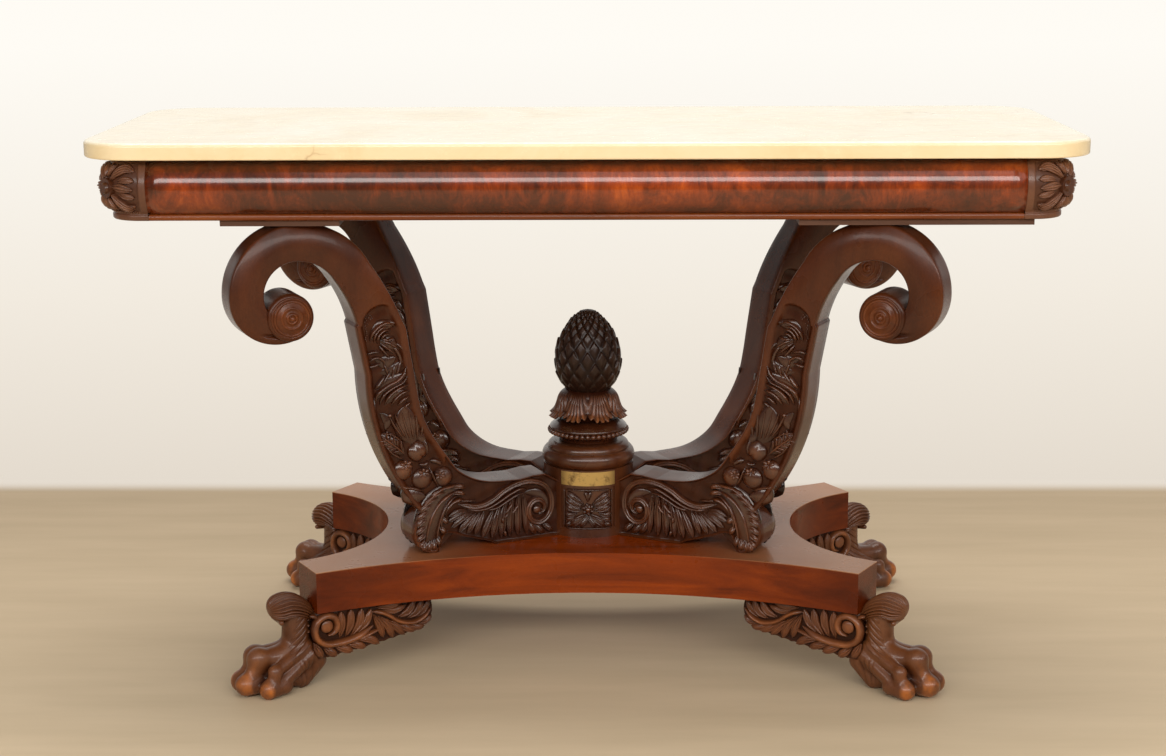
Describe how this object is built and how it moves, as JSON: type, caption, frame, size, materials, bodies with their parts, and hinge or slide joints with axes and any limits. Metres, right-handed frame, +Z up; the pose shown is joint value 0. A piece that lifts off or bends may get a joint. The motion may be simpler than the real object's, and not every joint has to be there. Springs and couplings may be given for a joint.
{
  "type": "pier table",
  "caption": "Carved mahogany pier table with a marble top, moulded apron, scroll legs round a pineapple column, a hollow-sided plinth and lion-paw feet.",
  "frame": {"origin": "on the floor, under the middle of the top", "axes": "+X to the right along the length as seen from the front, +Y to the back, +Z up"},
  "size_m": [1.32, 0.5806, 0.754],
  "materials": {
    "marble": "polished",
    "figured_mahogany": "gloss",
    "red_mahogany": "satin",
    "carved_mahogany": "satin",
    "plain_wood": "matte",
    "brass": "satin",
    "iron": "satin"
  },
  "bodies": {
    "root": {"back_apron_bead": "red_mahogany", "back_apron_fillet": "figured_mahogany", "back_apron_torus": "figured_mahogany", "back_brass_plate": "brass", "back_left_cleat": "carved_mahogany", "back_left_corner_block": "carved_mahogany", "back_left_foot_bracket": "carved_mahogany", "back_left_leg": "carved_mahogany", "back_left_paw_foot": "carved_mahogany", "back_rail": "plain_wood", "back_right_cleat": "carved_mahogany", "back_right_corner_block": "carved_mahogany", "back_right_foot_bracket": "carved_mahogany", "back_right_leg": "carved_mahogany", "back_right_paw_foot": "carved_mahogany", "beaded_disc": "carved_mahogany", "bracket_screws": "iron", "centre_rod": "iron", "cleat_screws": "iron", "column_collar": "carved_mahogany", "column_drum": "carved_mahogany", "corner_rosettes": "carved_mahogany", "foot_dowels": "plain_wood", "front_apron_bead": "red_mahogany", "front_apron_fillet": "figured_mahogany", "front_apron_torus": "figured_mahogany", "front_brass_plate": "brass", "front_left_cleat": "carved_mahogany", "front_left_corner_block": "carved_mahogany", "front_left_foot_bracket": "carved_mahogany", "front_left_leg": "carved_mahogany", "front_left_paw_foot": "carved_mahogany", "front_rail": "plain_wood", "front_right_cleat": "carved_mahogany", "front_right_corner_block": "carved_mahogany", "front_right_foot_bracket": "carved_mahogany", "front_right_leg": "carved_mahogany", "front_right_paw_foot": "carved_mahogany", "glue_blocks": "plain_wood", "leaf_calyx": "carved_mahogany", "left_apron_bead": "red_mahogany", "left_apron_fillet": "figured_mahogany", "left_apron_torus": "figured_mahogany", "left_cross_rail": "plain_wood", "left_rail": "plain_wood", "leg_base_screws": "iron", "leg_dowels": "plain_wood", "leg_top_screws": "iron", "marble_top": "marble", "pineapple": "carved_mahogany", "plinth_slab": "red_mahogany", "right_apron_bead": "red_mahogany", "right_apron_fillet": "figured_mahogany", "right_apron_torus": "figured_mahogany", "right_cross_rail": "plain_wood", "right_rail": "plain_wood", "rod_nut": "iron", "rod_washer": "iron", "volute_bosses": "carved_mahogany"}
  },
  "joints": []
}
